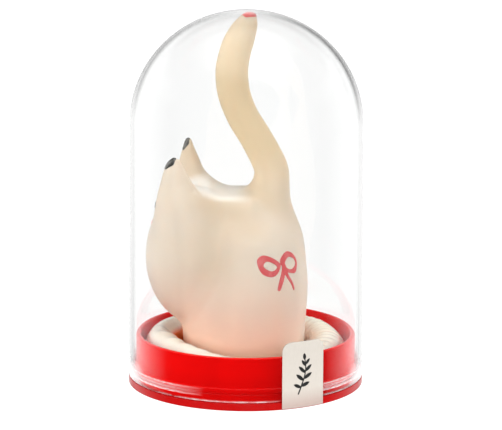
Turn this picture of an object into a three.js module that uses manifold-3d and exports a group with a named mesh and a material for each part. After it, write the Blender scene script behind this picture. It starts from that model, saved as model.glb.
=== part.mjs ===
// A soft latex mouse figure in a display dome: a red base, a clear dome that lifts off,
// the hollow figure with its rolled-up tube end, and a paper seal over the joint.
// Millimetres, +Z up. The origin is the centre of the face that the base stands on.
// The figure's head points to -X.

import * as THREE from 'three';
import { mergeVertices } from 'three/addons/utils/BufferGeometryUtils.js';
import Module from 'manifold-3d';

const wasm = await Module();
wasm.setup();

// ---- Driving dimensions ----

const ROUND_STEPS = 56;

// Base: a flat flange with an upright collar, one moulding.
const FLANGE_RADIUS = 31.5;
const FLANGE_HEIGHT = 2.1;
const FLANGE_EDGE = 0.4;
const COLLAR_RADIUS = 29.4;
const COLLAR_WALL = 1.3;
const COLLAR_TOP = 13.9;
const COLLAR_EDGE = 0.45;
const DISH_CORNER = 1.2;
const FLOOR_Z = FLANGE_HEIGHT;

// Snap ring of the collar, and the groove that it sits in on the dome's inner wall.
const SNAP_Z = 4.9;
const SNAP_HALF_HEIGHT = 0.8;
const SNAP_DEPTH = 0.35;

// Dome: a cylinder with a little draft, closed by a cap that is slightly flatter than a hemisphere.
const DOME_FOOT_Z = FLANGE_HEIGHT + 0.15;
const DOME_FOOT_RADIUS = FLANGE_RADIUS;
const DOME_SHOULDER_Z = 70.9;
const DOME_SHOULDER_RADIUS = 31.1;
const DOME_CAP_HEIGHT = 30.0;
const DOME_WALL = 1.2;
const DOME_TOP_WALL = 0.9;
const CAP_STEPS = 8;

// Figure: a hollow skin, open at the foot of its neck.
const SKIN_WALL = 0.8;
const NECK_RADIUS = 16.2;
const NECK_FOOT_Z = FLOOR_Z + 0.9;
const BODY_X = -0.4;
const HEAD_CENTRE = new THREE.Vector3(-12.8, 0.5, 34.3);
const HEAD_RADII = new THREE.Vector3(14.1, 15.5, 19.3);
const LIMB_SIDES = 14;
const BODY_SIDES = 28;

// Rolled tube end: a ring of oval section that lies on the dish's floor.
const RING_RADIUS = 22.1;
const RING_HALF_WIDTH = 4.9;
const RING_HALF_HEIGHT = 6.0;
const RING_Z = FLOOR_Z + 0.2 + RING_HALF_HEIGHT;
const RING_SECTION_SIDES = 12;
const RING_STEPS = 40;

// Seal: a paper label that is stuck over the joint of dome and base.
const SEAL_WIDTH = 12.3;
const SEAL_THICKNESS = 0.25;
const SEAL_LIFT = 0.12;
const SEAL_BOTTOM = 0.3;
const SEAL_TOP = 18.2;
const SEAL_CORNER = 2.4;
const SEAL_TURN = THREE.MathUtils.degToRad(28.9);

// ---- Helpers ----

function signedVolume(geometry) {
  const position = geometry.attributes.position;
  const index = geometry.index;
  const a = new THREE.Vector3();
  const b = new THREE.Vector3();
  const c = new THREE.Vector3();
  let sum = 0;
  for (let i = 0; i < index.count; i += 3) {
    a.fromBufferAttribute(position, index.getX(i));
    b.fromBufferAttribute(position, index.getX(i + 1));
    c.fromBufferAttribute(position, index.getX(i + 2));
    sum += a.dot(b.cross(c)) / 6;
  }
  return sum;
}

// Welds a closed geometry, drops its empty triangles and turns its faces outwards.
function closed(geometry) {
  const bare = geometry.clone();
  bare.deleteAttribute('normal');
  bare.deleteAttribute('uv');
  const welded = mergeVertices(bare);
  const outward = signedVolume(welded) > 0;
  const index = [];
  for (let i = 0; i < welded.index.count; i += 3) {
    const a = welded.index.getX(i);
    const b = welded.index.getX(i + 1);
    const c = welded.index.getX(i + 2);
    if (a !== b && b !== c && c !== a) index.push(...(outward ? [a, b, c] : [a, c, b]));
  }
  welded.setIndex(index);
  return welded;
}

function toSolid(geometry) {
  const welded = closed(geometry);
  return new wasm.Manifold(new wasm.Mesh({
    numProp: 3,
    vertProperties: new Float32Array(welded.attributes.position.array),
    triVerts: new Uint32Array(welded.index.array),
  }));
}

function toGeometry(solid) {
  const mesh = solid.getMesh();
  const geometry = new THREE.BufferGeometry();
  geometry.setAttribute('position', new THREE.BufferAttribute(new Float32Array(mesh.vertProperties), 3));
  geometry.setIndex(Array.from(mesh.triVerts));
  return geometry;
}

// A solid of revolution about +Z, from [radius, z] points.
function turned(points, steps = ROUND_STEPS) {
  const profile = points.map(([radius, z]) => new THREE.Vector2(radius, z));
  const geometry = new THREE.LatheGeometry(profile, steps);
  return closed(geometry.rotateX(Math.PI / 2));
}

// Points of an ellipse's arc from one angle to the other, both ends included, as [radius, z].
function arc(centreRadius, centreZ, halfWidth, halfHeight, from, to, steps) {
  const points = [];
  for (let i = 0; i <= steps; i += 1) {
    const angle = from + ((to - from) * i) / steps;
    points.push([centreRadius + halfWidth * Math.cos(angle), centreZ + halfHeight * Math.sin(angle)]);
  }
  return points;
}

function named(name, geometry, colour, roughness, opacity = 1) {
  geometry.computeVertexNormals();
  const material = new THREE.MeshStandardMaterial({ color: colour, roughness, metalness: 0 });
  material.transparent = opacity < 1;
  material.opacity = opacity;
  const mesh = new THREE.Mesh(geometry, material);
  mesh.name = name;
  return mesh;
}

// ---- Base ----

function makeBase() {
  const inner = COLLAR_RADIUS - COLLAR_WALL;
  const quarter = Math.PI / 2;
  return turned([
    [0, 0],
    [FLANGE_RADIUS - FLANGE_EDGE, 0],
    [FLANGE_RADIUS, FLANGE_EDGE],
    [FLANGE_RADIUS, FLANGE_HEIGHT],
    [COLLAR_RADIUS, FLANGE_HEIGHT],
    ...arc(COLLAR_RADIUS, SNAP_Z, SNAP_DEPTH, SNAP_HALF_HEIGHT, -quarter, quarter, 4),
    ...arc(COLLAR_RADIUS - COLLAR_EDGE, COLLAR_TOP - COLLAR_EDGE, COLLAR_EDGE, COLLAR_EDGE, 0, quarter, 3),
    ...arc(inner + COLLAR_EDGE, COLLAR_TOP - COLLAR_EDGE, COLLAR_EDGE, COLLAR_EDGE, quarter, 2 * quarter, 3),
    ...arc(inner - DISH_CORNER, FLOOR_Z + DISH_CORNER, DISH_CORNER, DISH_CORNER, 0, -quarter, 3),
    [0, FLOOR_Z],
  ]);
}

// ---- Dome ----

// Outer radius of the dome's straight part at a height.
function domeRadius(z) {
  const share = (z - DOME_FOOT_Z) / (DOME_SHOULDER_Z - DOME_FOOT_Z);
  return THREE.MathUtils.lerp(DOME_FOOT_RADIUS, DOME_SHOULDER_RADIUS, share);
}

function makeDome() {
  const quarter = Math.PI / 2;
  const shoulderInside = DOME_SHOULDER_RADIUS - DOME_WALL;
  const capInside = DOME_CAP_HEIGHT - DOME_TOP_WALL;
  const groove = domeRadius(SNAP_Z) - DOME_WALL;
  return turned([
    ...arc(0, DOME_SHOULDER_Z, DOME_SHOULDER_RADIUS, DOME_CAP_HEIGHT, quarter, 0, CAP_STEPS),
    [DOME_FOOT_RADIUS, DOME_FOOT_Z],
    [DOME_FOOT_RADIUS - DOME_WALL, DOME_FOOT_Z],
    ...arc(groove, SNAP_Z, SNAP_DEPTH, SNAP_HALF_HEIGHT, -quarter, quarter, 4),
    ...arc(0, DOME_SHOULDER_Z, shoulderInside, capInside, 0, quarter, CAP_STEPS),
  ]);
}

// ---- Figure ----

// Round body: radius at each height, from the open neck up to the saddle between ears and tail.
const BODY_STATIONS = [
  [NECK_RADIUS, NECK_FOOT_Z],
  [NECK_RADIUS, 10],
  [16.9, 19],
  [17.3, 28],
  [16.5, 36],
  [14.6, 43],
  [11.4, 48.2],
  [6.2, 51.4],
  [0, 52.4],
];

// Limbs: [x, y, z, radius] from the root inside the body to the tip.
const NEAR_EAR = [
  [-13.5, -4.5, 38, 9.0],
  [-16.0, -6.2, 46, 8.2],
  [-18.2, -7.1, 53, 4.9],
  [-19.3, -7.5, 58, 3.1],
  [-19.6, -7.7, 63.2, 1.7],
];
const FAR_EAR = [
  [-12.0, 5.5, 38, 9.0],
  [-13.2, 6.8, 46, 8.2],
  [-14.9, 7.6, 54, 4.8],
  [-15.5, 8.0, 59, 2.9],
  [-16.3, 8.2, 64.7, 1.6],
];
const TAIL = [
  [1.5, -0.5, 40, 12.3],
  [5.2, -0.3, 48, 8.4],
  [6.5, 0.2, 53, 5.9],
  [6.7, 0.8, 57.5, 4.75],
  [5.2, 1.7, 61.3, 4.45],
  [2.3, 2.8, 66.4, 4.4],
  [-1.1, 4.0, 71.8, 4.35],
  [-3.4, 5.2, 77.6, 4.45],
  [-4.0, 6.2, 83.6, 4.45],
  [-2.9, 7.0, 89.4, 4.3],
  [-0.9, 7.5, 94.8, 3.75],
  [0.3, 7.6, 98.65, 2.7],
];
// Share of a limb's length that its rounded tip takes up.
const EAR_TIP = 0.1;
const TAIL_TIP = 0.05;

// A round limb of changing thickness along a smooth line: a turned spindle bent onto the line.
function limb(stations, tipShare, inset) {
  const line = new THREE.CatmullRomCurve3(stations.map(([x, y, z]) => new THREE.Vector3(x, y, z)));
  const girth = new THREE.SplineCurve(stations.map(([, , , radius], i) => new THREE.Vector2(i, radius)));
  const steps = (stations.length - 1) * 2;
  const end = 1 - inset / line.getLength();
  const profile = [new THREE.Vector2(0, 0)];
  for (let i = 0; i <= steps; i += 1) {
    const share = (i / steps) * end;
    const intoTip = Math.max(0, (share - end + tipShare) / tipShare);
    const radius = (girth.getPoint(share).y - inset) * Math.sqrt(Math.max(0, 1 - intoTip ** 2));
    profile.push(new THREE.Vector2(i === steps ? 0 : Math.max(radius, 0.05), share));
  }
  const geometry = new THREE.LatheGeometry(profile, LIMB_SIDES);
  const position = geometry.attributes.position;
  for (let i = 0; i < position.count; i += 1) {
    const share = position.getY(i);
    const tangent = line.getTangent(share);
    const side = new THREE.Vector3().crossVectors(new THREE.Vector3(0, 1, 0), tangent).normalize();
    const across = new THREE.Vector3().crossVectors(tangent, side);
    const point = line.getPoint(share);
    point.addScaledVector(side, position.getX(i)).addScaledVector(across, position.getZ(i));
    position.setXYZ(i, point.x, point.y, point.z);
  }
  return toSolid(geometry);
}

// The body's outline moved inwards by the inset, on a neck that is open at its foot.
function bodySolid(inset) {
  const outline = new THREE.SplineCurve(BODY_STATIONS.map(([radius, z]) => new THREE.Vector2(radius, z)));
  const steps = BODY_STATIONS.length + 4;
  const foot = inset > 0 ? NECK_FOOT_Z - 1 : NECK_FOOT_Z;
  const profile = [[0, foot], [NECK_RADIUS - inset, foot]];
  for (let i = 1; i <= steps; i += 1) {
    const point = outline.getPoint(i / steps);
    const tangent = outline.getTangent(i / steps);
    const radius = i === steps ? 0 : point.x - inset * tangent.y;
    profile.push([radius, point.y + inset * tangent.x]);
  }
  return toSolid(turned(profile, BODY_SIDES).translate(BODY_X, 0, 0));
}

function headSolid(inset) {
  const ball = new THREE.SphereGeometry(1, BODY_SIDES, BODY_SIDES / 2).rotateX(Math.PI / 2);
  ball.scale(HEAD_RADII.x - inset, HEAD_RADII.y - inset, HEAD_RADII.z - inset);
  return toSolid(ball.translate(HEAD_CENTRE.x, HEAD_CENTRE.y, HEAD_CENTRE.z));
}

function figureSolid(inset) {
  return bodySolid(inset)
    .add(headSolid(inset))
    .add(limb(NEAR_EAR, EAR_TIP, inset))
    .add(limb(FAR_EAR, EAR_TIP, inset))
    .add(limb(TAIL, TAIL_TIP, inset));
}

function makeFigureSkin() {
  return toGeometry(figureSolid(0).subtract(figureSolid(SKIN_WALL)));
}

// ---- Rolled tube end ----

function makeRolledRim() {
  const section = arc(RING_RADIUS, RING_Z, RING_HALF_WIDTH, RING_HALF_HEIGHT, 0, 2 * Math.PI, RING_SECTION_SIDES);
  return turned(section, RING_STEPS);
}

// ---- Seal ----

function sealOutline() {
  const half = SEAL_WIDTH / 2;
  const shape = new THREE.Shape();
  shape.moveTo(-half, SEAL_BOTTOM);
  shape.lineTo(half, SEAL_BOTTOM);
  shape.lineTo(half, SEAL_TOP - SEAL_CORNER);
  shape.absarc(half - SEAL_CORNER, SEAL_TOP - SEAL_CORNER, SEAL_CORNER, 0, Math.PI / 2);
  shape.lineTo(SEAL_CORNER - half, SEAL_TOP);
  shape.absarc(SEAL_CORNER - half, SEAL_TOP - SEAL_CORNER, SEAL_CORNER, Math.PI / 2, Math.PI);
  return shape;
}

// The label lies on a cylinder: its outline, pushed through a thin curved wall.
function makeSeal() {
  const inner = FLANGE_RADIUS + SEAL_LIFT;
  const wall = turned([
    [inner, 0],
    [inner + SEAL_THICKNESS, 0],
    [inner + SEAL_THICKNESS, SEAL_TOP + 1],
    [inner, SEAL_TOP + 1],
    [inner, 0],
  ], ROUND_STEPS * 2);
  const plate = new THREE.ExtrudeGeometry(sealOutline(), {
    depth: FLANGE_RADIUS * 2, bevelEnabled: false, curveSegments: 4,
  });
  plate.rotateX(Math.PI / 2);
  const label = toSolid(wall).intersect(toSolid(plate));
  return toGeometry(label).rotateZ(SEAL_TURN);
}

// ---- Object ----

const group = new THREE.Group();
group.add(named('base', makeBase(), 0xd80a0a, 0.3));
group.add(named('rolled_rim', makeRolledRim(), 0xe6d3b4, 0.35));
group.add(named('figure_skin', makeFigureSkin(), 0xe6ccb0, 0.4));
const cover = new THREE.Group();
cover.add(named('dome', makeDome(), 0xf4f7f7, 0.05, 0.3));
cover.add(named('seal', makeSeal(), 0xece4dc, 0.8));
group.add(cover);

export default group;
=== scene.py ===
"""A soft latex mouse figure in a display dome: red base, clear lift-off dome, paper seal.

Shapes are worked out in millimetres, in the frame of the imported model, and become metres only
when a mesh is made. The figure is one smooth surface, found where a blend of simple distances is
zero, and every painted mark is a thin film of paint that lies on that same surface.
"""

import math

import bpy
import numpy as np
import openvdb
from mathutils import Matrix, Vector


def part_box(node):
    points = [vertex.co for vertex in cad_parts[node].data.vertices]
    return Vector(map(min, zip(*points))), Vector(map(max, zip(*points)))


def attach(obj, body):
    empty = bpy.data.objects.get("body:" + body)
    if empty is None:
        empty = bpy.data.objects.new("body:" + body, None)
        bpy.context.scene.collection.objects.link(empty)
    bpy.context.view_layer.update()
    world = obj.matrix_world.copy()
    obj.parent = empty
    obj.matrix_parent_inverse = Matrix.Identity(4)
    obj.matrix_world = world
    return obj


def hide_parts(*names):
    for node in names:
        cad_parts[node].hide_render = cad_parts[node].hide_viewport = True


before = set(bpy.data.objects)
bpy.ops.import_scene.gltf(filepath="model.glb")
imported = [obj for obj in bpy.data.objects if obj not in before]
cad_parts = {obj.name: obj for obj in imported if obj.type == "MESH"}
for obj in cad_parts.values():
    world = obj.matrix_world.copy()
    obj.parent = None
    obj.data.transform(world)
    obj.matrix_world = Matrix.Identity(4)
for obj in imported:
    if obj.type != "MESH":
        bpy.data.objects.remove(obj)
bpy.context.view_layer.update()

MM = 0.001
TAU = 2 * math.pi
QUARTER = math.pi / 2


# ---- Sizes taken from the frame, in millimetres ----


def frame_box(node):
    """Low and high corners of a node's box, in millimetres."""
    low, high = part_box(node)
    return np.array(low) / MM, np.array(high) / MM


BASE_HIGH = frame_box("base")[1]
DOME_LOW, DOME_HIGH = frame_box("dome")
SEAL_LOW, SEAL_HIGH = frame_box("seal")
SKIN_LOW, SKIN_HIGH = frame_box("figure_skin")
RING_LOW, RING_HIGH = frame_box("rolled_rim")

FLANGE_RADIUS = BASE_HIGH[0]
COLLAR_TOP = BASE_HIGH[2]
DOME_FOOT = DOME_LOW[2]
DOME_TOP = DOME_HIGH[2]
DOME_GAP = 0.15
FLANGE_HEIGHT = DOME_FOOT - DOME_GAP
DISH_FLOOR = FLANGE_HEIGHT
SEAL_FOOT = SEAL_LOW[2]
SEAL_TOP = SEAL_HIGH[2]
NECK_FOOT = SKIN_LOW[2]


# ---- Curves ----


def spline(points, steps, closed=False):
    """Points on a smooth Catmull-Rom line through the given rows, `steps` to each stretch."""
    rows = np.array(points, float)
    if closed:
        rows = np.vstack([rows[-1:], rows, rows[:2]])
    else:
        rows = np.vstack([2 * rows[0] - rows[1], rows, 2 * rows[-1] - rows[-2]])
    t = np.linspace(0, 1, steps, endpoint=False)[:, None]
    parts = []
    for a, b, c, d in zip(rows, rows[1:], rows[2:], rows[3:]):
        bend = t**2 * (a - 2.5 * b + 2 * c - 0.5 * d)
        twist = t**3 * (1.5 * (b - c) + 0.5 * (d - a))
        parts.append(b + 0.5 * t * (c - a) + bend + twist)
    if not closed:
        parts.append(rows[-2:-1])
    return np.vstack(parts)


def arc(centre, radii, start, end, steps):
    """Points of an elliptic arc in the (radius, z) plane."""
    turn = np.linspace(start, end, steps + 1)
    return np.stack([centre[0] + radii[0] * np.cos(turn), centre[1] + radii[1] * np.sin(turn)], -1)


def straight(start, end):
    """Points along a straight wall, close together at its ends, so that its shading stays flat."""
    share = np.array([0.0, 0.004, 0.012, 0.04, 0.15, 0.5, 0.85, 0.96, 0.988, 0.996, 1.0])[:, None]
    return np.array(start) * (1 - share) + np.array(end) * share


def fade(value, start, end):
    """0 before start, 1 after end, smooth between them."""
    t = np.clip((value - start) / (end - start), 0, 1)
    return t * t * (3 - 2 * t)


def hump(value, centre, width):
    """1 at the centre, fading out over about two widths on either side."""
    return np.exp(-(((value - centre) / width) ** 2))


# ---- Meshes ----


def make_mesh(name, points, faces, material):
    """A smooth-shaded mesh from millimetre points, put in the scene."""
    mesh = bpy.data.meshes.new(name)
    mesh.from_pydata((np.asarray(points) * MM).tolist(), [], [tuple(map(int, f)) for f in faces])
    mesh.shade_smooth()
    mesh.materials.append(material)
    piece = bpy.data.objects.new(name, mesh)
    bpy.context.scene.collection.objects.link(piece)
    return piece


def make_piece(name, points, faces, material, body, slot, *nodes):
    """A mesh that rides on a body, and hides the frame nodes it stands in for. Its slot is not used."""
    piece = make_mesh(name, points, faces, material)
    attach(piece, body)
    if nodes:
        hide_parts(*nodes)
    return piece


def set_shade(piece, name, depth):
    """Stores a share from 0 to 1 for each point, for the painted shade and highlight in the latex
    colour.
    """
    shade = piece.data.attributes.new(name, "FLOAT", "POINT")
    shade.data.foreach_set("value", depth.ravel().astype(np.float32))


def grid_faces(rows, columns, close_rows=True, close_columns=True):
    """Quads of a grid of points, row by row, closed round either way."""
    row = np.arange(rows if close_rows else rows - 1)[:, None]
    column = np.arange(columns if close_columns else columns - 1)[None, :]
    next_row = (row + 1) % rows
    next_column = (column + 1) % columns
    corners = [
        row * columns + column,
        next_row * columns + column,
        next_row * columns + next_column,
        row * columns + next_column,
    ]
    return np.stack([np.broadcast_to(c, corners[0].shape) for c in corners], -1).reshape(-1, 4)


def turned(outline, steps=256):
    """Points and faces of a solid of revolution. The outline runs with the solid on its left."""
    outline = np.asarray(outline, float)
    angle = np.arange(steps) * TAU / steps
    points, rings = [], []
    for radius, z in outline:
        if radius < 1e-6:
            rings.append(np.full(steps, len(points)))
            points.append((0, 0, z))
        else:
            rings.append(len(points) + np.arange(steps))
            points.extend(zip(radius * np.cos(angle), radius * np.sin(angle), np.full(steps, z)))
    faces = []
    for low, high in zip(rings, rings[1:]):
        for i in range(steps):
            j = (i + 1) % steps
            face = [low[i], low[j], high[j], high[i]]
            faces.append(list(dict.fromkeys(face)))
    return np.array(points), faces


def rim_edges(faces):
    """Directed edges that only one face has."""
    edges = {}
    for face in faces:
        for a, b in zip(face, face[1:] + face[:1]):
            edges[(a, b)] = True
    return [(a, b) for a, b in edges if (b, a) not in edges]


def closed_film(top, under, faces):
    """Points and faces of a thin closed sheet between two layers that share one set of faces."""
    count = len(top)
    back = [[i + count for i in reversed(face)] for face in faces]
    sides = [(b, a, a + count, b + count) for a, b in rim_edges(faces)]
    return np.vstack([top, under]), faces + back + sides


# ---- Distances ----


def to_ball(p, centre, radii):
    """Distance to an ellipsoid, close to true near its surface."""
    q = (p - np.array(centre)) / np.array(radii)
    k0 = np.linalg.norm(q, axis=-1)
    k1 = np.linalg.norm(q / np.array(radii), axis=-1)
    return k0 * (k0 - 1) / np.maximum(k1, 1e-6)


def to_block(p, centre, half, rounding):
    """Distance to a box with rounded edges."""
    inset = np.abs(p - np.array(centre)) - np.array(half) + rounding
    outside = np.linalg.norm(np.maximum(inset, 0), axis=-1)
    return outside + np.minimum(inset.max(-1), 0) - rounding


def to_limb(p, stations, steps=8):
    """Distance to a round limb along a smooth line, from (x, y, z, radius) rows."""
    best = np.full(p.shape[:-1], 1e3)
    for row in spline(stations, steps):
        reach = np.zeros(p.shape[:-1])
        for axis in range(p.shape[-1]):
            reach += (p[..., axis] - row[axis]) ** 2
        best = np.minimum(best, np.sqrt(reach) - row[-1])
    return best


def to_outline(p, corners, steps=8):
    """Signed distance in the plane to a smooth closed outline, below zero inside it."""
    line = spline(corners, steps, closed=True)
    best = np.full(p.shape[:-1], 1e3)
    inside = np.zeros(p.shape[:-1], bool)
    u, v = p[..., 0], p[..., 1]
    for (u0, v0), (u1, v1) in zip(line, np.roll(line, -1, 0)):
        du, dv = u1 - u0, v1 - v0
        t = np.clip(((u - u0) * du + (v - v0) * dv) / (du * du + dv * dv), 0, 1)
        best = np.minimum(best, np.hypot(u - u0 - t * du, v - v0 - t * dv))
        crosses = (v0 <= v) != (v1 <= v)
        inside ^= crosses & (u < u0 + (v - v0) / (dv if dv else 1) * du)
    return np.where(inside, -best, best)


def join(a, b, blend):
    """Smooth union of two distances, rounding the crease over about the blend's length."""
    share = np.clip(0.5 + 0.5 * (b - a) / blend, 0, 1)
    return b + (a - b) * share - blend * share * (1 - share)


# ---- The figure's form ----

BODY = [
    (-0.5, 0, -4, 16.2),
    (-0.5, 0, 3, 16.2),
    (-0.5, 0, 10, 16.2),
    (-0.5, 0, 18, 16.6),
    (-0.4, 0, 26, 17.0),
    (-0.4, 0, 31.5, 16.6),
    (-0.4, 0, 35.6, 16.2),
]
DENT = [
    (-9.0, -14.6, 54.0, 3.0),
    (-5.0, -15.7, 52.0, 4.5),
    (-1.0, -16.7, 50.0, 5.6),
    (3.0, -17.2, 47.6, 4.8),
    (5.5, -17.3, 46.2, 3.0),
]
BACK_CENTRE = (-5.0, 0.6, 46.0)
BACK_HALF = (9.0, 9.6, 6.1)
BACK_ROUNDING = 3.2
HEAD_CENTRE = (-12.8, 0.5, 34.6)
HEAD_RADII = (14.1, 15.3, 18.7)
NEAR_EAR = [
    (-13.5, -4.5, 38, 9.0),
    (-16.2, -6.2, 46.5, 7.8),
    (-17.8, -7.0, 51, 5.8),
    (-18.6, -7.3, 54.5, 4.2),
    (-18.95, -7.5, 58, 3.0),
    (-19.1, -7.6, 60.3, 1.95),
    (-19.0, -7.7, 61.9, 0.85),
]
FAR_EAR = [
    (-12.0, 5.5, 38, 9.0),
    (-13.2, 6.8, 46, 7.8),
    (-14.9, 7.6, 54, 4.3),
    (-15.4, 8.0, 59, 2.6),
    (-15.6, 8.1, 61.8, 1.65),
    (-15.6, 8.2, 63.9, 0.85),
]
NEAR_EAR_EDGE = [
    (-18.1, -7.8, 62.0, 0.5),
    (-16.0, -7.8, 58.4, 0.4),
    (-14.5, -8.1, 55.8, 0.4),
    (-12.7, -8.8, 53.0, 0.45),
    (-11.3, -9.6, 50.8, 0.5),
]
TAIL = [
    (4.4, 1.2, 41, 8.0),
    (5.9, 1.2, 48, 6.0),
    (6.5, 1.2, 53, 5.1),
    (6.7, 1.4, 57.5, 4.6),
    (5.2, 2.0, 61.3, 4.4),
    (2.3, 2.8, 66.4, 4.25),
    (-1.1, 3.8, 71.7, 4.25),
    (-3.4, 4.7, 77.5, 4.35),
    (-4.0, 5.4, 83.4, 4.4),
    (-3.1, 5.8, 88.5, 4.2),
    (-2.1, 5.9, 91.4, 4.0),
    (-1.0, 5.7, 94.1, 3.5),
    (-0.1, 5.3, 96.0, 2.9),
    (0.55, 4.9, 97.5, 2.1),
    (0.7, 4.7, 97.88, 1.88),
]
BACK_BLEND = 2.5
DENT_BLEND = 3.0
CREASE_BLEND = 2.5
EAR_BLEND = 4.0
EDGE_BLEND = 0.7
TAIL_BLEND = 3.8
SKIN_WALL = 0.8
# Strengths, widths and heights of the painted shade that darkens the creases beside the head and tail
# and the pressed side.
HEAD_CREASE_SHADE = 0.8
HEAD_CREASE_WIDTH = 6.0
HEAD_CREASE_FOOT = 22
HEAD_CREASE_TOP = 36
TAIL_CREASE_SHADE = 0.8
TAIL_CREASE_WIDTH = 4.0
DENT_CREASE_SHADE = 0.5
DENT_CREASE_WIDTH = 2.4


def to_trunk(p):
    """Distance to the round body, pressed in a little in front of the flat back."""
    body = -join(-to_limb(p, BODY, 6), to_limb(p, DENT), DENT_BLEND)
    return join(body, to_block(p, BACK_CENTRE, BACK_HALF, BACK_ROUNDING), BACK_BLEND)


def to_figure(p):
    """Distance from points to the outside of the figure's skin, below zero inside."""
    form = join(to_trunk(p), to_ball(p, HEAD_CENTRE, HEAD_RADII), CREASE_BLEND)
    form = join(form, to_limb(p, TAIL), TAIL_BLEND)
    ears = np.minimum(to_limb(p, NEAR_EAR), to_limb(p, FAR_EAR))
    form = join(form, ears, EAR_BLEND)
    return join(form, to_limb(p, NEAR_EAR_EDGE, 10), EDGE_BLEND)


def crease_shade_depth(p):
    """How deep points lie in the creases beside the head and tail and in the pressed side, 0 to 1: the
    share of painted shade there.
    """
    body = to_trunk(p)
    head = np.minimum(to_ball(p, HEAD_CENTRE, HEAD_RADII), to_limb(p, NEAR_EAR))
    beside_head = hump(head - body, 0, HEAD_CREASE_WIDTH)
    beside_head *= fade(p[..., 2], HEAD_CREASE_FOOT, HEAD_CREASE_TOP)
    beside_tail = hump(to_limb(p, TAIL) - body, 0, TAIL_CREASE_WIDTH)
    pressed = hump(to_limb(p, DENT), 0, DENT_CREASE_WIDTH)
    depth = HEAD_CREASE_SHADE * beside_head + TAIL_CREASE_SHADE * beside_tail + DENT_CREASE_SHADE * pressed
    return np.clip(depth, 0, 1)


COARSE = 4
NEAR_SURFACE = 1.8


def grid_points(low, shape, step):
    axes = [low[i] + step * np.arange(shape[i]) for i in range(3)]
    return np.stack(np.meshgrid(*axes, indexing="ij"), -1)


def surface(distance, low, high, step):
    """Points and quads of the surface where distance is zero, inside a box.

    Coarse cells give the distance far from the surface, and only those near it are refined.
    """
    coarse_step = step * COARSE
    coarse_shape = np.ceil((np.array(high) - low) / coarse_step).astype(int) + 1
    centres = np.array(low) + (COARSE - 1) / 2 * step
    value = distance(grid_points(centres, coarse_shape, coarse_step))
    for axis in range(3):
        value = value.repeat(COARSE, axis)
    fine = grid_points(low, value.shape, step)
    near = np.abs(value) < coarse_step * NEAR_SURFACE
    value[near] = distance(fine[near])
    grid = openvdb.FloatGrid(1e3)
    grid.copyFromArray(value.astype(np.float32))
    points, _, quads = grid.convertToPolygons(0.0, 0.0)
    return points * step + np.array(low), quads


def slope(distance, points, reach=0.05):
    """Outward unit directions at points near a surface."""
    parts = []
    for axis in range(3):
        shift = np.zeros(3)
        shift[axis] = reach
        parts.append(distance(points + shift) - distance(points - shift))
    direction = np.stack(parts, -1)
    return direction / np.linalg.norm(direction, axis=-1, keepdims=True)


# ---- Materials ----


class Nodes:
    """Short calls for the nodes used here, in one node tree."""

    def __init__(self, tree):
        self.nodes = tree.nodes
        self.links = tree.links

    def feed(self, socket, value):
        """Links another node's output to a socket, or sets a plain value on it."""
        if isinstance(value, bpy.types.NodeSocket):
            self.links.new(value, socket)
        else:
            socket.default_value = value

    def add(self, kind, **inputs):
        node = self.nodes.new("ShaderNode" + kind)
        for name, value in inputs.items():
            self.feed(node.inputs[name.replace("_", " ")], value)
        return node

    def pair(self, kind, operation, a, b):
        """The number that a maths node makes of two inputs."""
        node = self.nodes.new("ShaderNode" + kind)
        node.operation = operation
        self.feed(node.inputs[0], a)
        self.feed(node.inputs[1], b)
        return node.outputs["Value"]

    def maths(self, operation, a, b=0.0):
        return self.pair("Math", operation, a, b)

    def times(self, a, b):
        return self.maths("MULTIPLY", a, b)

    def dot(self, a, b):
        return self.pair("VectorMath", "DOT_PRODUCT", a, b)

    def split(self, vector):
        outputs = self.add("SeparateXYZ", Vector=vector).outputs
        return outputs["X"], outputs["Y"], outputs["Z"]

    def range(self, value, low, high, start=0.0, end=1.0, kind="LINEAR"):
        """Start where value is low, end where it is high, and held beyond them."""
        node = self.add("MapRange", Value=value)
        node.interpolation_type = kind
        for name, limit in (("From Min", low), ("From Max", high), ("To Min", start), ("To Max", end)):
            self.feed(node.inputs[name], limit)
        return node.outputs["Result"]

    def smooth_range(self, value, low, high, start=0.0, end=1.0):
        return self.range(value, low, high, start, end, "SMOOTHSTEP")


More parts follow.
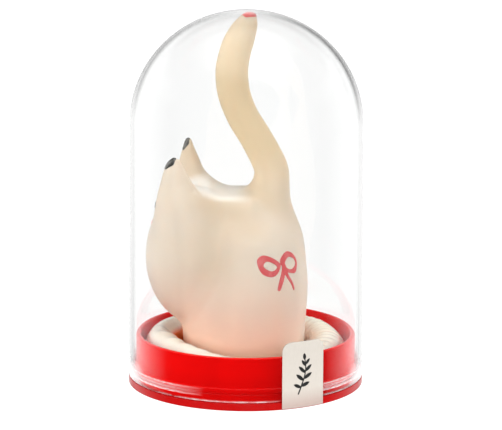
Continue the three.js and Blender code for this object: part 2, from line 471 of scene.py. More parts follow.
class Shader(Nodes):
    """A new material, with short calls for what its surface is made of."""

    def __init__(self, name):
        self.material = bpy.data.materials.new(name)
        self.material.use_nodes = True
        super().__init__(self.material.node_tree)
        self.main = self.nodes["Principled BSDF"]

    def set(self, **values):
        for name, value in values.items():
            if name.endswith("Color"):
                value = (*value, 1)
            self.main.inputs[name.replace("_", " ")].default_value = value

    def place(self):
        return self.add("TexCoord").outputs["Object"]

    def noise(self, scale, detail=2.0, stretch=(1, 1, 1)):
        """Noise with features about 1/scale metres across."""
        mapping = self.add("Mapping", Vector=self.place(), Scale=stretch)
        texture = self.add("TexNoise", Vector=mapping.outputs["Vector"], Scale=scale, Detail=detail)
        return texture.outputs["Fac"]

    def stored(self, name):
        """A share that set_shade has stored for each point."""
        node = self.nodes.new("ShaderNodeAttribute")
        node.attribute_name = name
        return node.outputs["Fac"]

    def band(self, value, centre, half):
        """1 at the centre, falling to 0 half a width away."""
        away = self.maths("ABSOLUTE", self.maths("SUBTRACT", value, centre))
        return self.range(away, half, 0.0)

    def mix(self, share, a, b):
        """A colour between two, each a socket or plain red, green and blue."""
        node = self.nodes.new("ShaderNodeMix")
        node.data_type = "RGBA"
        self.feed(node.inputs[0], share)
        for index, colour in ((6, a), (7, b)):
            linked = isinstance(colour, bpy.types.NodeSocket)
            self.feed(node.inputs[index], colour if linked else (*colour, 1))
        return node.outputs[2]

    def blend(self, share, a, b):
        """A surface between two."""
        node = self.add("MixShader", Fac=share)
        self.links.new(a, node.inputs[1])
        self.links.new(b, node.inputs[2])
        return node.outputs["Shader"]

    def bump(self, height, distance):
        node = self.add("Bump", Height=height, Distance=distance)
        node.inputs["Strength"].default_value = 1.0
        self.links.new(node.outputs["Normal"], self.main.inputs["Normal"])

    def colour(self, socket):
        self.links.new(socket, self.main.inputs["Base Color"])

    def roughness(self, socket):
        self.links.new(socket, self.main.inputs["Roughness"])


LATEX = (0.81, 0.70, 0.58)
# The next colour is painted shade, for the creases.
LATEX_SHADED = (0.68, 0.55, 0.41)
# The next colour is painted red light thrown up from the base, for the foot.
LATEX_RED_BOUNCE = (0.72, 0.38, 0.255)
TAIL_TONE = (0.70, 0.545, 0.335)
BACK_HIGHLIGHT = (0.98, 0.955, 0.91)
# The next colour is a painted highlight, for the flat back.
ROLL = (0.99, 0.95, 0.83)
# The next colour is painted shade with red light from the base, for the roll's gap and pleats.
ROLL_GAP_SHADE = (0.95, 0.17, 0.015)
BLOTCH_TONE = 0.97

# Materials work in metres: places here and in the next materials are in metres, the rest are shares.
# Where the painted red light from the base lies on the foot.
RED_BOUNCE_FOOT = 0.012
RED_BOUNCE_TOP = 0.035
RED_BOUNCE_FADES_FROM = 0.008
RED_BOUNCE_FADES_TO = 0.015
RED_BOUNCE_LEFT_OVER = 0.3
TAIL_TINT = 0.85
TAIL_TINT_FOOT = 0.047
TAIL_TINT_TOP = 0.064
TIP_FOOT = 0.092
TIP_TOP = 0.098
TIP_SHARE = 0.6
EARS_END = -0.0105
TAIL_STARTS = -0.009
EAR_SHARE = 0.15


def latex_material(name, light, deep, roughness, red_bounce):
    """Dipped latex: milky, with painted shade in the creases and a painted highlight on the flat back.

    The tail is yellower, and the foot is pinker with painted red light thrown up from the base.
    """
    shader = Shader(name)
    shader.main.subsurface_method = "BURLEY"
    shader.set(
        IOR=1.5,
        Roughness=roughness,
        Subsurface_Weight=0.7,
        Subsurface_Radius=(1.0, 0.6, 0.4),
        Subsurface_Scale=0.0018,
    )
    blotches = shader.range(shader.noise(110, 3), 0.35, 0.65)
    colour = shader.mix(blotches, light, [BLOTCH_TONE * part for part in light])
    # Painted shade in the creases.
    colour = shader.mix(shader.stored("crease"), colour, deep)
    # A painted highlight on the flat back.
    colour = shader.mix(shader.stored("pale"), colour, BACK_HIGHLIGHT)
    right, _, height = shader.split(shader.place())
    up_tail = shader.range(height, TAIL_TINT_FOOT, TAIL_TINT_TOP, 0.0, TAIL_TINT)
    to_tip = shader.range(height, TIP_FOOT, TIP_TOP, 1.0, TIP_SHARE)
    off_ears = shader.range(right, EARS_END, TAIL_STARTS, EAR_SHARE, 1.0)
    tint = shader.times(shader.times(up_tail, to_tip), off_ears)
    colour = shader.mix(tint, colour, TAIL_TONE)
    # Painted red light from the base on the foot, weaker towards the right.
    low = shader.range(height, RED_BOUNCE_TOP, RED_BOUNCE_FOOT, 0.0, red_bounce)
    off_right = shader.range(right, RED_BOUNCE_FADES_FROM, RED_BOUNCE_FADES_TO, 1.0, RED_BOUNCE_LEFT_OVER)
    shader.colour(shader.mix(shader.times(low, off_right), colour, LATEX_RED_BOUNCE))
    return shader.material


def paint_material(name, colour, streak, roughness=0.3):
    """Brushed-on paint: streaks a little lighter, and an uneven wet-looking surface."""
    shader = Shader(name)
    shader.set(Roughness=roughness, IOR=1.5)
    streaks = shader.range(shader.noise(900, 3, (1, 1, 0.35)), 0.42, 0.72)
    shader.colour(shader.mix(streaks, colour, streak))
    shader.bump(shader.noise(1400, 2), 0.00012)
    return shader.material


# Painted shade and light on the red plastic: darker on the flange and the collar's foot, brightest
# towards the collar's top.
FLANGE_SHADED_RED = (0.34, 0.0006, 0.0006)
COLLAR_FOOT_SHADED_RED = (0.72, 0.001, 0.001)
COLLAR_LIT_RED = (0.95, 0.0015, 0.0015)
COLLAR_LIT_FROM = 0.7
FLANGE_SHADE_BLEND = 0.3


def red_plastic_material():
    """Glossy red plastic, with painted shade that darkens the flange and the collar's foot, and painted
    light brightest towards the collar's top.
    """
    shader = Shader("red_plastic")
    shader.set(IOR=1.46, Specular_IOR_Level=0.5)
    height = shader.split(shader.place())[2]
    # Painted shade low on the collar and on the flange, painted light towards the collar's top.
    up_collar = shader.range(height, FLANGE_HEIGHT * MM, COLLAR_LIT_FROM * COLLAR_TOP * MM)
    collar = shader.mix(up_collar, COLLAR_FOOT_SHADED_RED, COLLAR_LIT_RED)
    above_flange = shader.range(height, FLANGE_HEIGHT * MM, (FLANGE_HEIGHT + FLANGE_SHADE_BLEND) * MM)
    shader.colour(shader.mix(above_flange, FLANGE_SHADED_RED, collar))
    shader.roughness(shader.range(shader.noise(500, 4), 0.3, 0.7, 0.16, 0.26))
    shader.bump(shader.noise(900, 2), 0.00001)
    return shader.material


# Height, half width and strength of each painted highlight line at the snap. The lines fade out towards
# the middle.
HIGHLIGHT_LINES = ((0.0038, 0.00022, 1.0), (0.0055, 0.00018, 0.85), (0.0047, 0.0009, 0.3))
HIGHLIGHTS_FROM = 0.011
HIGHLIGHTS_FULL = 0.028
# Painted highlights along the dome's foot and on its side edges near the foot.
FOOT_HIGHLIGHT_Z = 0.0024
FOOT_HIGHLIGHT_HALF = 0.0002
FOOT_HIGHLIGHT = 0.45
EDGE_HIGHLIGHT_Z = 0.0042
EDGE_HIGHLIGHT_HALF = 0.0042
EDGE_HIGHLIGHT_FROM = 0.0268
EDGE_HIGHLIGHT_FULL = 0.0304
EDGE_HIGHLIGHT = 0.75


def dome_highlights(shader):
    """How white the dome is painted for highlights: hatched lines at the snap, a broken line at the
    foot and the side edges near the foot.
    """
    across, _, height = shader.split(shader.place())
    from_middle = shader.maths("ABSOLUTE", across)
    aside = shader.range(from_middle, HIGHLIGHTS_FROM, HIGHLIGHTS_FULL)
    hatching = shader.range(shader.noise(1500, 2, (0.5, 0.5, 3)), 0.35, 0.6, 0.35, 1.0)
    highlights = []
    for centre, half, strength in HIGHLIGHT_LINES:
        line = shader.times(shader.band(height, centre, half), strength)
        highlights.append(shader.times(shader.times(line, aside), hatching))
    foot_breaks = shader.range(shader.noise(220, 3), 0.42, 0.66, 0.0, FOOT_HIGHLIGHT)
    highlights.append(shader.times(shader.band(height, FOOT_HIGHLIGHT_Z, FOOT_HIGHLIGHT_HALF), foot_breaks))
    at_edge = shader.range(from_middle, EDGE_HIGHLIGHT_FROM, EDGE_HIGHLIGHT_FULL, 0.0, EDGE_HIGHLIGHT)
    highlights.append(shader.times(shader.band(height, EDGE_HIGHLIGHT_Z, EDGE_HIGHLIGHT_HALF), at_edge))
    brightest = 0.0
    for highlight in highlights:
        brightest = shader.maths("MAXIMUM", brightest, highlight)
    return brightest


def clear_plastic_material():
    """Clear moulded plastic, with painted white highlights near its foot. Shadow rays pass straight
    through it.
    """
    shader = Shader("clear_plastic")
    shader.set(Base_Color=(0.995, 0.998, 0.996), IOR=1.5, Transmission_Weight=1.0)
    shader.roughness(shader.range(shader.noise(300, 4), 0.62, 0.8, 0.0, 0.05))
    white = shader.add("BsdfDiffuse").outputs["BSDF"]
    clear = shader.add("BsdfTransparent").outputs["BSDF"]
    in_shadow = shader.add("LightPath").outputs["Is Shadow Ray"]
    # White mixed in where highlights are painted on the dome.
    highlighted = shader.blend(dome_highlights(shader), shader.main.outputs["BSDF"], white)
    surface_out = shader.blend(in_shadow, highlighted, clear)
    shader.links.new(surface_out, shader.nodes["Material Output"].inputs["Surface"])
    return shader.material


PAPER_LIGHT = (0.47, 0.435, 0.39)
PAPER_DARK = (0.45, 0.415, 0.37)
# The next colour is painted shade with red light from the base, for the paper's foot.
PAPER_SHADED_FOOT = (0.35, 0.255, 0.225)
PAPER_SHADE_SHARE = 0.8
PAPER_SHADE_FROM = 0.0055
PAPER_SHADE_FULL = 0.001


def paper_material():
    """Uncoated label paper, with faint fibres, and painted shade with red light from the base that
    makes it duller and redder at its foot.
    """
    shader = Shader("label_paper")
    shader.set(Roughness=0.62, IOR=1.45)
    fibres = shader.range(shader.noise(2500, 4, (1, 1, 0.3)), 0.3, 0.7)
    sheet = shader.mix(fibres, PAPER_LIGHT, PAPER_DARK)
    height = shader.split(shader.place())[2]
    # Painted shade with red light from the base, at the paper's foot.
    at_foot = shader.range(height, PAPER_SHADE_FROM, PAPER_SHADE_FULL, 0.0, PAPER_SHADE_SHARE)
    shader.colour(shader.mix(at_foot, sheet, PAPER_SHADED_FOOT))
    shader.bump(shader.noise(3000, 3), 0.00001)
    return shader.material


# ---- Base ----

COLLAR_RADIUS = 29.4
COLLAR_WALL = 1.3
SNAP_Z = 4.9
SNAP_HALF_HEIGHT = 0.8
SNAP_DEPTH = 0.35
FILLET_STEPS = 8


def snap_ring(radius, depth):
    """The rounded ridge on the collar, or the groove for it in the dome."""
    return arc((radius, SNAP_Z), (depth, SNAP_HALF_HEIGHT), -QUARTER, QUARTER, 14)


def make_base():
    """A flange with an upright hollow collar, and a snap ring round the collar."""
    inner = COLLAR_RADIUS - COLLAR_WALL
    edge, top_edge, root, lip, corner = 0.35, 0.2, 0.3, 0.45, 1.2
    beside_snap = SNAP_HALF_HEIGHT + 0.1
    flange_edge = (FLANGE_RADIUS - top_edge, FLANGE_HEIGHT - top_edge)
    outline = np.vstack([
        [(0, 0), (10, 0), (20, 0), (FLANGE_RADIUS - 2, 0)],
        arc((FLANGE_RADIUS - edge, edge), (edge, edge), -QUARTER, 0, FILLET_STEPS),
        arc(flange_edge, (top_edge, top_edge), 0, QUARTER, FILLET_STEPS),
        [(COLLAR_RADIUS + 0.5, FLANGE_HEIGHT)],
        arc((COLLAR_RADIUS + root, FLANGE_HEIGHT + root), (-root, root), -QUARTER, 0, 4),
        [(COLLAR_RADIUS, SNAP_Z - beside_snap)],
        snap_ring(COLLAR_RADIUS, SNAP_DEPTH),
        [(COLLAR_RADIUS, SNAP_Z + beside_snap), (COLLAR_RADIUS, COLLAR_TOP - 1)],
        arc((COLLAR_RADIUS - lip, COLLAR_TOP - lip), (lip, lip), 0, QUARTER, FILLET_STEPS),
        arc((inner + lip, COLLAR_TOP - lip), (-lip, lip), QUARTER, 0, FILLET_STEPS),
        [(inner, COLLAR_TOP - 1), (inner, DISH_FLOOR + corner + 0.5)],
        arc((inner - corner, DISH_FLOOR + corner), (corner, corner), 0, -QUARTER, FILLET_STEPS),
        [(20, DISH_FLOOR), (10, DISH_FLOOR), (0, DISH_FLOOR)],
    ])
    points, faces = turned(outline)
    make_piece("base_moulding", points, faces, red_plastic_material(), "stand", "red_plastic", "base")


# ---- Dome ----

DOME_SHOULDER_Z = 70.9
DOME_SHOULDER_RADIUS = 31.1
DOME_WALL = 1.2
DOME_TOP_WALL = 0.6
DOME_STEPS = 384
DOME_GROOVE = 0.1


def make_dome():
    """A slightly tapered wall that ends in a dome, with a groove for the base's snap ring."""
    cap = DOME_TOP - DOME_SHOULDER_Z
    inner = DOME_SHOULDER_RADIUS - DOME_WALL
    foot_inner = FLANGE_RADIUS - DOME_WALL
    lean = (FLANGE_RADIUS - DOME_SHOULDER_RADIUS) / (DOME_SHOULDER_Z - DOME_FOOT)
    groove = foot_inner - lean * (SNAP_Z - DOME_FOOT)
    edge = 0.25
    above_edge = DOME_FOOT + edge + 0.02
    beside_snap = SNAP_HALF_HEIGHT + 0.05
    shoulder = (0, DOME_SHOULDER_Z)
    outline = np.vstack([
        arc(shoulder, (inner, cap - DOME_TOP_WALL), QUARTER, 0, 64)[:-1],
        straight((inner, DOME_SHOULDER_Z), (groove, SNAP_Z + beside_snap)),
        snap_ring(groove, DOME_GROOVE)[::-1],
        straight((groove, SNAP_Z - beside_snap), (foot_inner, above_edge)),
        arc((foot_inner + edge, DOME_FOOT + edge), (-edge, edge), 0, -QUARTER, 6),
        arc((FLANGE_RADIUS - edge, DOME_FOOT + edge), (edge, edge), -QUARTER, 0, 6),
        straight((FLANGE_RADIUS, above_edge), (DOME_SHOULDER_RADIUS, DOME_SHOULDER_Z)),
        arc(shoulder, (DOME_SHOULDER_RADIUS, cap), 0, QUARTER, 64)[1:],
    ])
    outline[[0, -1], 0] = 0
    points, faces = turned(outline, DOME_STEPS)
    make_piece("dome_shell", points, faces, clear_plastic_material(), "cover", "clear_plastic", "dome")


# ---- Figure ----

SKIN_STEP = 0.36
LAYERS_BELOW_NECK = 5.5
# Where a highlight is painted on the flat back: its height, spread and how far it reaches towards the
# tail.
BACK_Z = 51.5
BACK_SPREAD = 7
BACK_HIGHLIGHT_FROM = 2
BACK_HIGHLIGHT_FULL = -4


def back_highlight_share(points, normal):
    """1 on the flat back, where a highlight is painted, 0 away from it."""
    faces_up = fade(normal[:, 2], 0.6, 0.95)
    level = hump(points[:, 2], BACK_Z, BACK_SPREAD)
    return faces_up * level * fade(-points[:, 0], -BACK_HIGHLIGHT_FROM, -BACK_HIGHLIGHT_FULL)


def make_skin(material):
    """The hollow moulding, open at the neck. A layer of its mesh lies level with the neck's end."""
    low = SKIN_LOW - 3
    low[2] = NECK_FOOT - LAYERS_BELOW_NECK * SKIN_STEP
    points, quads = surface(to_figure, low, SKIN_HIGH + 3, SKIN_STEP)
    quads = quads[(points[quads, 2] > NECK_FOOT - 0.2 * SKIN_STEP).all(1)]
    used, quads = np.unique(quads, return_inverse=True)
    points = points[used]
    quads = quads.reshape(-1, 4).tolist()
    points = points - slope(to_figure, points) * to_figure(points)[:, None]
    normal = slope(to_figure, points)
    everything, faces = closed_film(points, points - normal * SKIN_WALL, quads)
    skin = make_piece("latex_skin", everything, faces, material, "stand", "latex", "figure_skin")
    # Painted shade in the creases, stored for the latex colour.
    set_shade(skin, "crease", np.tile(crease_shade_depth(points), 2))
    # A painted highlight on the flat back, stored for the latex colour.
    set_shade(skin, "pale", np.tile(back_highlight_share(points, normal), 2))


# ---- Paint ----

PAINT_LIFT = 0.015
PAINT_SINK = 0.03
AIM_FROM = 30


def snapped_grid(edge, reach, step):
    """A flat grid round 0, 0 and its edge values, with the points near the outline moved onto it."""
    count = int(math.ceil(reach / step))
    axis = np.arange(-count, count + 1) * step
    flat = np.stack(np.meshgrid(axis, axis, indexing="ij"), -1)
    value = edge(flat)
    near = np.abs(value) < 0.35 * step
    shift = 0.2 * step
    across = (edge(flat[near] + (shift, 0)) - edge(flat[near] - (shift, 0))) / (2 * shift)
    along = (edge(flat[near] + (0, shift)) - edge(flat[near] - (0, shift))) / (2 * shift)
    square = np.maximum(across**2 + along**2, 0.25)
    flat[near] -= np.stack([across, along], -1) * (value[near] / square)[:, None]
    value[near] = 0
    return flat, value


def filled(edge, reach, step):
    """Flat points and faces that fill the area where edge is below zero, within reach of 0, 0."""
    flat, value = snapped_grid(edge, reach, step)
    points, faces, index = [], [], {}

    def corner(node):
        if node not in index:
            index[node] = len(points)
            points.append(flat[node])
        return index[node]

    def crossing(a, b):
        key = (min(a, b), max(a, b))
        if key not in index:
            share = value[a] / (value[a] - value[b])
            index[key] = len(points)
            points.append(flat[a] + (flat[b] - flat[a]) * share)
        return index[key]

    lowest = np.minimum.reduce([value[:-1, :-1], value[1:, :-1], value[:-1, 1:], value[1:, 1:]])
    for i, j in zip(*np.nonzero(lowest < 0)):
        nodes = [(i, j), (i + 1, j), (i + 1, j + 1), (i, j + 1)]
        face = []
        for a, b in zip(nodes, nodes[1:] + nodes[:1]):
            if value[a] <= 0:
                face.append(corner(a))
            if value[a] * value[b] < 0:
                face.append(crossing(a, b))
        if len(face) > 2:
            faces.append(face)
    return np.array(points), faces


def strike(start, direction):
    """Where rays from outside first meet the figure."""
    points = start.copy()
    for _ in range(40):
        points += direction * (0.9 * to_figure(points))[:, None]
    return points


def around_body(azimuth, height, radius):
    """Lays flat marks on the body, as wide as they are on a round wall of the given radius."""

    def aim(flat):
        turn = azimuth + flat[:, 0] / radius
        out = np.stack([np.sin(turn), -np.cos(turn), 0 * turn], -1)
        start = out * AIM_FROM + np.array((-0.4, 0, height)) + flat[:, 1:] * np.array((0, 0, 1))
        return start, -out

    return aim


def around_point(centre, pole, radius, upright=(0, 0, 1)):
    """Lays flat marks round a rounded end, with 0, 0 where the pole leaves the centre."""
    pole = np.array(pole, float) / np.linalg.norm(pole)
    right = np.cross(upright, pole)
    right /= np.linalg.norm(right)
    up = np.cross(pole, right)

    def aim(flat):
        reach = np.maximum(np.hypot(flat[:, 0], flat[:, 1]), 1e-6)
        tilt = reach / radius
        aside = (flat[:, :1] * right + flat[:, 1:] * up) / reach[:, None]
        out = pole * np.cos(tilt)[:, None] + aside * np.sin(tilt)[:, None]
        return np.array(centre) + out * AIM_FROM, -out

    return aim


def paint(name, edge, reach, aim, material, step=0.12, thickness=0.06, rounding=0.3):
    """A thin closed film of paint on the figure, thinning out to its outline."""
    flat, faces = filled(edge, reach, step)
    foot = strike(*aim(flat))
    normal = slope(to_figure, foot)
    inward = np.clip(-edge(flat) / rounding, 0, 1)
    height = PAINT_LIFT + thickness * np.sqrt(1 - (1 - inward) ** 2)
    top = foot + normal * height[:, None]
    under = foot - normal * PAINT_SINK
    points, faces = closed_film(top, under, faces)
    make_piece(name, points, faces, material, "stand", "latex")


# ---- Bow ----

BOW_AZIMUTH = math.radians(34.5)
BOW_Z = 34.5
BOW_WRAP = 17.3
LEFT_LOOP = [
    (-6.9, 2.2), (-6.4, 3.2), (-5.2, 3.7), (-3.8, 3.5), (-1.8, 2.6), (0.1, 1.2),
    (0.2, 0.0), (-1.1, -1.8), (-3.0, -2.2), (-5.1, -1.4), (-6.4, 0.3),
]
LEFT_HOLE = [(-5.0, 1.1), (-3.9, 2.0), (-1.8, 1.2), (-0.9, 0.1), (-2.4, -0.7), (-4.3, 0.1)]
RIGHT_LOOP = [
    (0.2, 1.6), (1.2, 3.2), (2.9, 4.0), (5.2, 3.1), (6.9, 1.0), (6.7, -1.1),
    (5.7, -2.2), (3.3, -1.8), (1.5, -0.8),
]
RIGHT_HOLE = [(1.9, 1.1), (3.4, 2.4), (5.5, 1.6), (6.1, 0.1), (4.4, -1.0), (2.5, -0.3)]
LEFT_END = [(1.5, 0.2, 0.6), (1.0, -2.0, 0.72), (0.2, -4.0, 0.7), (-0.5, -5.7, 0.52)]
RIGHT_END = [(1.4, -0.2, 0.55), (2.8, -2.8, 0.5), (4.1, -4.7, 0.42), (4.8, -6.4, 0.35)]


def bow_edge(flat):
    left = np.maximum(to_outline(flat, LEFT_LOOP), -to_outline(flat, LEFT_HOLE))
    right = np.maximum(to_outline(flat, RIGHT_LOOP), -to_outline(flat, RIGHT_HOLE))
    ends = join(to_limb(flat, LEFT_END), to_limb(flat, RIGHT_END), 0.3)
    return join(join(left, right, 0.3), ends, 0.3)


# ---- Other marks ----


def oval(half_width, half_height, wobble=0.0, lean=0.0):
    """An upright hand-painted oval, its outline a little uneven."""

    def edge(flat):
        u = flat[..., 0] * math.cos(lean) + flat[..., 1] * math.sin(lean)
        v = flat[..., 1] * math.cos(lean) - flat[..., 0] * math.sin(lean)
        turn = np.arctan2(v / half_height, u / half_width)
        size = 1 + wobble * (np.sin(3 * turn + 1) + 0.6 * np.sin(5 * turn))
        reach = np.hypot(u / half_width, v / half_height)
        return (reach - size) * min(half_width, half_height)

    return edge


def moved(edge, u, v):
    """The same mark with its middle at u, v."""
    return lambda flat: edge(flat - (u, v))


def strokes(*lines):
    """Brush lines, each a row of (u, v, half width) stations."""
    return lambda flat: np.minimum.reduce([to_limb(flat, line) for line in lines])


HEAD_MIDDLE = (-12, 0.3, 43)
FACE_POLE = (-0.985, 0.174, 0)
FACE_RADIUS = 12.0
NEAR_EYE = 7.3
FAR_EYE = -6.4
EYE_HEIGHT = 6.0
LEFT_LIP = [(0, -0.6, 0.16), (0, -1.5, 0.16), (-0.8, -2.2, 0.15), (-1.7, -2.0, 0.13)]
RIGHT_LIP = [(-u, v, half) for u, v, half in LEFT_LIP]


def make_marks():
    """Everything painted on the figure."""
    pink = paint_material("pink_paint", (0.87, 0.155, 0.16), (0.92, 0.25, 0.25), 0.36)
    grey = paint_material("grey_paint", (0.05, 0.048, 0.044), (0.36, 0.35, 0.33), 0.24)
    red = paint_material("tip_paint", (0.74, 0.014, 0.005), (0.80, 0.03, 0.01), 0.3)
    black = paint_material("black_paint", (0.015, 0.015, 0.016), (0.03, 0.03, 0.03), 0.22)
    paint("painted_bow", bow_edge, 8, around_body(BOW_AZIMUTH, BOW_Z, BOW_WRAP), pink, 0.11)
    near = around_point((-19.0, -7.6, 60.0), (-0.6, -0.35, 0.72), 2.6)
    paint("near_ear_patch", oval(1.6, 2.3, 0.08, -0.3), 4, near, grey, 0.12, 0.12)
    far = around_point((-15.6, 8.1, 62.2), (-0.6, -0.45, 0.66), 2.6)
    paint("far_ear_patch", oval(1.35, 2.5, 0.08, -0.1), 4, far, grey, 0.12, 0.12)
    tip = around_point((0.6, 4.8, 96.7), (0.05, 0, 1), 2.8, (0, 1, 0))
    paint("tail_tip_paint", oval(2.3, 2.3, 0.05), 4, tip, red, 0.12, 0.1)
    face = around_point(HEAD_MIDDLE, FACE_POLE, FACE_RADIUS)
    for name, u in (("near_eye", NEAR_EYE), ("far_eye", FAR_EYE)):
        paint(name, moved(oval(0.9, 0.8, 0.02), u, EYE_HEIGHT), 9, face, black, 0.12, 0.1)
    paint("nose", moved(oval(1.1, 0.8), 0, 0.2), 3, face, pink, 0.1, 0.15)
    paint("mouth", strokes(LEFT_LIP, RIGHT_LIP), 4, face, black, 0.07, 0.04, 0.12)


# ---- Rolled end ----

RING_INSIDE = 17.2
RING_AROUND = 720
RING_ACROSS = 96
CREST_AT = 165
CREST_TILT = 0.6
CREST_SWELL = 0.3
LOW_AT = 285
LOW_WIDTH = 46
LOW_DEPTH = 3.0
GAP_AT = 160
GAP_WIDTH = 30
GAP_DEPTH = 2.6
PLEATS_AT = 20
PLEATS = 27
PLEAT_DEPTH = 0.6
FURROWS_AT = 185
FURROWS = 23
FURROW_DEPTH = 0.3
RIPPLES = 31
RIPPLE_DEPTH = 0.0375
FOLD_WIDTH = 40
ROLL_SHADE_AT = 158


def folds(around, count, drift, wander):
    """Folds round the roll, as waves from -1 to 1 whose spacing wanders."""
    return np.sin(around * count + drift * np.sin(around * wander))


def make_ring(material):
    """The rolled-up end of the latex: a fat roll, lower in front, pleated on its inner side."""
    around = np.arange(RING_AROUND) * TAU / RING_AROUND
    across = np.arange(RING_ACROSS) * TAU / RING_ACROSS
    around, across = np.meshgrid(around, across, indexing="ij")
    degrees = np.degrees(around)
    wide = (RING_HIGH[0] - RING_INSIDE) / 2
    middle = RING_INSIDE + wide
    foot = RING_LOW[2]
    tilt = CREST_TILT * np.cos(around - math.radians(CREST_AT))
    crest = RING_HIGH[2] - foot + tilt - LOW_DEPTH * hump(degrees, LOW_AT, LOW_WIDTH)
    gap = GAP_DEPTH * hump(degrees, GAP_AT, GAP_WIDTH)
    inner = fade(-np.cos(across), -0.7, 0.4)
    upper = fade(np.sin(across), -0.3, 0.6)
    pleated = hump(degrees, PLEATS_AT, FOLD_WIDTH) + hump(degrees, PLEATS_AT + 360, FOLD_WIDTH)
    pleat = (2 * np.abs(folds(around, PLEATS, 0.8, 5)) - 1) * pleated
    furrow = folds(around, FURROWS, 1.5, 3) * hump(degrees, FURROWS_AT, FOLD_WIDTH)
    ripple = folds(around, RIPPLES, 2, 7)
    swell = inner * upper * (PLEAT_DEPTH * pleat + FURROW_DEPTH * furrow + RIPPLE_DEPTH * ripple)
    swell += CREST_SWELL * hump(degrees, CREST_AT, FOLD_WIDTH) - gap * inner
    swell += 0.12 * np.sin(around * 4 + 1) + 0.08 * np.sin(around * 9 + 3) * upper
    radius = middle + (wide + swell) * np.cos(across)
    z = foot + crest / 2 + (crest / 2 + swell) * np.sin(across)
    z = np.maximum(z, DISH_FLOOR + 0.02)
    points = np.stack([radius * np.cos(around), radius * np.sin(around), z], -1).reshape(-1, 3)
    faces = grid_faces(RING_AROUND, RING_ACROSS)
    ring = make_piece("rolled_tube", points, faces, material, "stand", "latex", "rolled_rim")
    # Painted shade with red light from the base in the gap beside the neck, and painted shade between
    # the pleats.
    in_gap = fade(-np.cos(across), -0.1, 0.45) * fade(-np.sin(across), -1.0, -0.6)
    in_gap *= 0.2 + 0.8 * hump(degrees, ROLL_SHADE_AT, FOLD_WIDTH)
    between_pleats = 0.4 * np.clip(-pleat, 0, 1) * inner * upper
    set_shade(ring, "crease", np.clip(in_gap + between_pleats, 0, 1))


# ---- Seal ----

SEAL_AZIMUTH = math.radians(28.9)
SEAL_WIDTH = 12.3
SEAL_CORNER = 2.4
SEAL_FOOT_CORNER = 0.15
SEAL_GAP = 0.14
PAPER = 0.1
PRINT = 0.02


def on_seal(flat, lift):
    """Points on the curved face of the seal, from (across, z) millimetres."""
    radius = FLANGE_RADIUS + SEAL_GAP + lift
    turn = SEAL_AZIMUTH + flat[:, 0] / FLANGE_RADIUS
    return np.stack([radius * np.sin(turn), -radius * np.cos(turn), flat[:, 1]], -1)


def flat_sheet(name, edge, reach, step, lift, thickness, material, slot):
    """A thin closed sheet that follows the seal."""
    flat, faces = filled(edge, reach, step)
    flat = flat + (0, (SEAL_FOOT + SEAL_TOP) / 2)
    points, faces = closed_film(on_seal(flat, lift + thickness), on_seal(flat, lift), faces)
    return make_piece(name, points, faces, material, "cover", slot)


def seal_edge(flat):
    """A strip with its two top corners rounded."""
    half = np.array((SEAL_WIDTH / 2, (SEAL_TOP - SEAL_FOOT) / 2))
    corner = np.where(flat[..., 1] > 0, SEAL_CORNER, SEAL_FOOT_CORNER)
    inset = np.abs(flat) - half + corner[..., None]
    outside = np.linalg.norm(np.maximum(inset, 0), axis=-1)
    return outside + np.minimum(inset.max(-1), 0) - corner


def leaf(u, v, angle, length, width):
    """Stations of a leaf that grows from u, v at an angle in degrees."""
    angle = math.radians(angle)
    rows = []
    for share in (0.0, 0.25, 0.5, 0.75, 1.0):
        reach = share * length
        half = width / 2 * math.sin(math.pi * min(0.97, share * 0.9 + 0.07)) ** 0.8
        rows.append((u + reach * math.cos(angle), v + reach * math.sin(angle), half))
    return rows


STEM = [(-1.6, -5.2, 0.2), (-0.7, -3.0, 0.22), (0.2, -0.5, 0.2), (0.5, 2.0, 0.18), (0.2, 4.2, 0.15)]


def sprig_edge(flat):
    """A plain leafy sprig: one stem, pairs of leaves and a bud."""
    best = to_limb(flat, STEM)
    leaves = [
        leaf(-0.9, -3.5, 155, 2.2, 0.9),
        leaf(-0.8, -3.2, 20, 2.6, 1.0),
        leaf(-0.2, -1.6, 140, 2.6, 1.0),
        leaf(0.0, -1.2, 30, 2.7, 1.0),
        leaf(0.3, 0.4, 135, 2.5, 0.95),
        leaf(0.4, 0.8, 40, 2.4, 0.95),
        leaf(0.5, 2.2, 125, 2.0, 0.8),
        leaf(0.45, 2.6, 50, 1.9, 0.8),
        leaf(0.2, 4.0, 95, 1.6, 0.9),
    ]
    for stations in leaves:
        best = np.minimum(best, to_limb(flat, stations, 6))
    return best


def make_seal():
    """The paper label over the joint of dome and base, with the sprig printed on it."""
    paper = paper_material()
    ink = paint_material("black_ink", (0.012, 0.012, 0.012), (0.02, 0.02, 0.02), 0.6)
    sheet = flat_sheet("seal_paper", seal_edge, 9.2, 0.25, 0, PAPER, paper, "label_paper")
    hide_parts("seal")
    flat_sheet("seal_print", sprig_edge, 6.5, 0.09, PAPER, PRINT, ink, "label_paper")


# ---- Studio ----

CAMERA_DISTANCE = 1.0
CAMERA_ELEVATION = math.radians(15.49)
CAMERA_PITCH = math.radians(12.944)
CAMERA_YAW = math.radians(0.077)
CAMERA_ROLL = math.radians(0.275)
FOCAL_PIXELS = 3701
IMAGE_WIDTH = 502


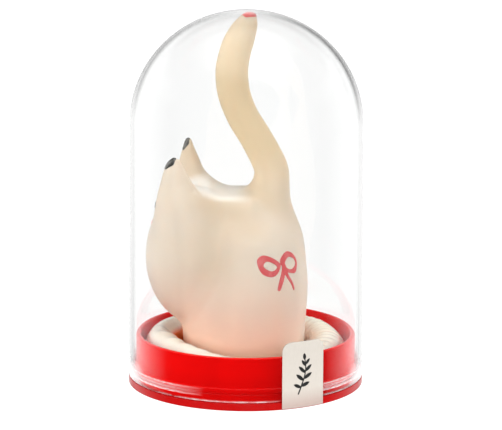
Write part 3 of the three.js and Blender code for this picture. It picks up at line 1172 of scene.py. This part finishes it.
def make_camera():
    data = bpy.data.cameras.new("camera")
    data.sensor_width = 36
    data.lens = FOCAL_PIXELS / IMAGE_WIDTH * data.sensor_width
    camera = bpy.data.objects.new("camera", data)
    bpy.context.scene.collection.objects.link(camera)
    back = -CAMERA_DISTANCE * math.cos(CAMERA_ELEVATION)
    up = CAMERA_DISTANCE * math.sin(CAMERA_ELEVATION)
    yaw = Matrix.Rotation(-CAMERA_YAW, 4, "Z")
    pitch = Matrix.Rotation(QUARTER - CAMERA_PITCH, 4, "X")
    roll = Matrix.Rotation(CAMERA_ROLL, 4, "Z")
    camera.matrix_world = Matrix.Translation((0, back, up)) @ yaw @ pitch @ roll
    bpy.context.scene.camera = camera


FLOOR_RADIUS = 800
FLOOR_GLOW = 1.08
FRONT_GLOW = 0.1
GLOW_FROM = -0.075
GLOW_FULL = -0.048


def make_floor():
    """A pale lit table. Its glow is weak in front, so that little white light falls on the red base."""
    shader = Shader("white_floor")
    shader.set(
        Base_Color=(0.2, 0.2, 0.2),
        Roughness=0.9,
        Specular_IOR_Level=0.0,
        Emission_Color=(1, 1, 1),
    )
    forward = shader.split(shader.place())[1]
    glow = shader.range(forward, GLOW_FROM, GLOW_FULL, FRONT_GLOW, FLOOR_GLOW)
    seen = shader.times(shader.add("LightPath").outputs["Is Camera Ray"], FLOOR_GLOW)
    glow = shader.maths("MAXIMUM", glow, seen)
    shader.links.new(glow, shader.main.inputs["Emission Strength"])
    points, faces = turned([(FLOOR_RADIUS, 0), (0, 0)], 96)
    floor = make_mesh("floor", points, faces, shader.material)
    floor.visible_glossy = False
    floor.visible_transmission = False


# Directions in the world are unit vectors, so these limits are parts of 1 or angles.
BACK_LIGHT = 1.14
BACK_FULL = 0.72
FRONT_LIGHT = 0.02
DARK_MOVES_FROM = 0.2
DARK_MOVES_TO = 0.9
DARK_UNTIL_LOW = -0.08
DARK_UNTIL_HIGH = -0.7
SKY_LEVEL = 0.4
SKY_FROM = 0.31
SKY_FULL = 0.52
TOP_LIGHT = 1.0
TOP_FROM = 0.75
TOP_FULL = 0.97
ROOM_FULL = 0.1
ROOM_END = 0.4
FLAG_DIP = math.radians(13)
FLAG_START = math.radians(12)
FLAG_FULL_FROM = math.radians(21)
FLAG_FULL = math.radians(32)
FLAG_END = math.radians(45)
FLAG_FADE_START = -0.01
FLAG_FADE_END = 0.10
RISING_FLAGS = 0.8
FALLING_FLAGS = 0.55


def flagged(studio, light, way, aside):
    """The light with grey flags in a ring round the paper.

    Those at the lower left and upper right are darker than those at the upper left and lower right.
    """
    upward = studio.dot(way, (0, math.sin(FLAG_DIP), math.cos(FLAG_DIP)))
    onward = studio.dot(way, (0, math.cos(FLAG_DIP), -math.sin(FLAG_DIP)))
    before_end = studio.smooth_range(onward, math.cos(FLAG_END), math.cos(FLAG_FULL))
    after_start = studio.smooth_range(onward, math.cos(FLAG_FULL_FROM), math.cos(FLAG_START), 1.0, 0.0)
    in_reach = studio.times(before_end, after_start)
    corner = studio.times(aside, upward)
    for side, darkness in ((1, RISING_FLAGS), (-1, FALLING_FLAGS)):
        shade = studio.range(corner, FLAG_FADE_START * side, FLAG_FADE_END * side, 0.0, darkness)
        shade = studio.times(shade, in_reach)
        light = studio.times(light, studio.maths("SUBTRACT", 1.0, shade))
    return light


def make_world():
    """White paper behind, grey flags round it, and a room in front.

    The room is pale for rays that come from the camera, even through the dome, and mirrors dark.
    """
    world = bpy.data.worlds.new("studio")
    world.use_nodes = True
    studio = Nodes(world.node_tree)
    way = studio.add("TexCoord").outputs["Generated"]
    aside, forward, high = studio.split(way)
    dark_until = studio.range(high, DARK_MOVES_FROM, DARK_MOVES_TO, DARK_UNTIL_LOW, DARK_UNTIL_HIGH)
    light = studio.range(forward, dark_until, BACK_FULL, FRONT_LIGHT, BACK_LIGHT)
    sky = studio.smooth_range(high, SKY_FROM, SKY_FULL, 1.0, SKY_LEVEL)
    light = flagged(studio, studio.times(light, sky), way, aside)
    top = studio.smooth_range(high, TOP_FROM, TOP_FULL, 0.0, TOP_LIGHT)
    light = studio.maths("ADD", light, top)
    path = studio.add("LightPath").outputs
    bounces = studio.maths("ADD", path["Glossy Depth"], path["Diffuse Depth"])
    unbounced = studio.range(bounces, 0.0, 1.0, 1.0, 0.0)
    in_front = studio.smooth_range(forward, ROOM_FULL, ROOM_END, 1.0, 0.0)
    light = studio.maths("MAXIMUM", light, studio.times(unbounced, in_front))
    background = studio.nodes["Background"]
    background.inputs["Color"].default_value = (1, 1, 1, 1)
    studio.links.new(light, background.inputs["Strength"])
    bpy.context.scene.world = world


def add_light(name, place, aim, size, power):
    """A rectangular lamp that isn't mirrored and isn't seen through the dome."""
    data = bpy.data.lights.new(name, "AREA")
    data.shape = "RECTANGLE"
    data.size, data.size_y = size
    data.energy = power
    light = bpy.data.objects.new(name, data)
    bpy.context.scene.collection.objects.link(light)
    turn = (Vector(aim) - Vector(place)).to_track_quat("-Z", "Y")
    light.matrix_world = Matrix.Translation(place) @ turn.to_matrix().to_4x4()
    light.visible_glossy = False
    light.visible_transmission = False


def make_lights():
    middle = (0, 0, 0.04)
    add_light("overhead_softbox", (0, 0.05, 0.9), middle, (0.55, 0.55), 2.0)
    add_light("front_fill", (0, -1.2, 0.3), middle, (1.0, 0.9), 13.5)
    add_light("left_fill", (-1.1, -0.5, 0.25), middle, (1.4, 1.0), 20.0)
    add_light("right_fill", (1.1, -0.5, 0.25), middle, (1.4, 1.0), 20.0)


# ---- Everything ----

bpy.context.scene.view_settings.view_transform = "Standard"
make_camera()
make_floor()
make_world()
make_lights()
skin_latex = latex_material("latex", LATEX, LATEX_SHADED, 0.4, 0.7)
roll_latex = latex_material("latex_roll", ROLL, ROLL_GAP_SHADE, 0.22, 0.0)
make_base()
make_dome()
make_skin(skin_latex)
make_marks()
make_ring(roll_latex)
make_seal()
